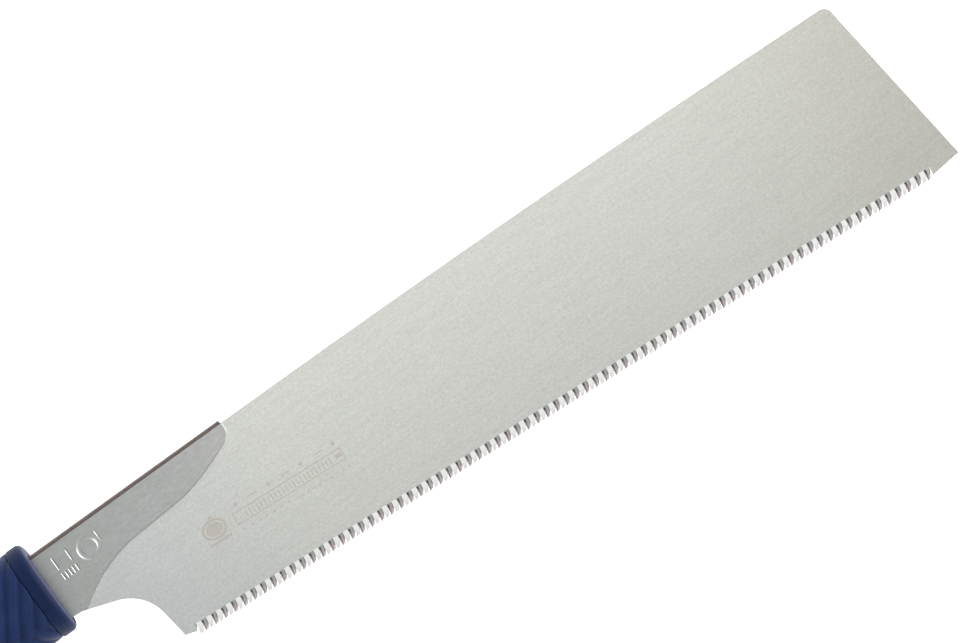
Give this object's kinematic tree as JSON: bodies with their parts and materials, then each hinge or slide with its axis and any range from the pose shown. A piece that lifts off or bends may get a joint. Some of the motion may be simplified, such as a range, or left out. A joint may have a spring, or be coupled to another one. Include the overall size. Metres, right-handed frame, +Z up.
{
  "type": "pull saw",
  "caption": "Japanese-style pull saw: thin wide blade with crosscut teeth, hooked into a short folded steel back on a straight navy rubber handle with a hanging hole.",
  "frame": {"origin": "on the ground under the middle of the saw's box, with the saw lying flat on the side of its handle", "axes": "+X from the handle to the tip, +Y from the teeth to the spine, +Z up, out of the blade's stamped face"},
  "size_m": [0.6016, 0.0747, 0.024],
  "materials": {
    "blade_steel": "fine brushed grain along the blade, satin",
    "back_steel": "satin, grain along the spine, stamped ornament",
    "hidden_steel": "plain drawn steel",
    "core_wood": "plain sanded hardwood",
    "collar_rubber": "smooth moulded rubber, semi-matte",
    "grip_rubber": "moulded cross-wrapped strand pattern, semi-matte",
    "cap_rubber": "smooth moulded rubber, semi-matte"
  },
  "bodies": {
    "handle": {"blade_holder": "back_steel", "spacer_plate": "hidden_steel", "catch_pin": "hidden_steel", "tang_pin": "hidden_steel", "handle_core": "core_wood", "front_collar": "collar_rubber", "grip_sleeve": "grip_rubber", "butt_cap": "cap_rubber"},
    "blade": {"blade": "blade_steel"}
  },
  "joints": [
    {"name": "blade_swing", "type": "hinge", "parent": "handle", "child": "blade", "pos_m": [-0.0148, 0.01839, 0.012], "axis": [0, 0, -1], "range_deg": [0, 8]}
  ]
}
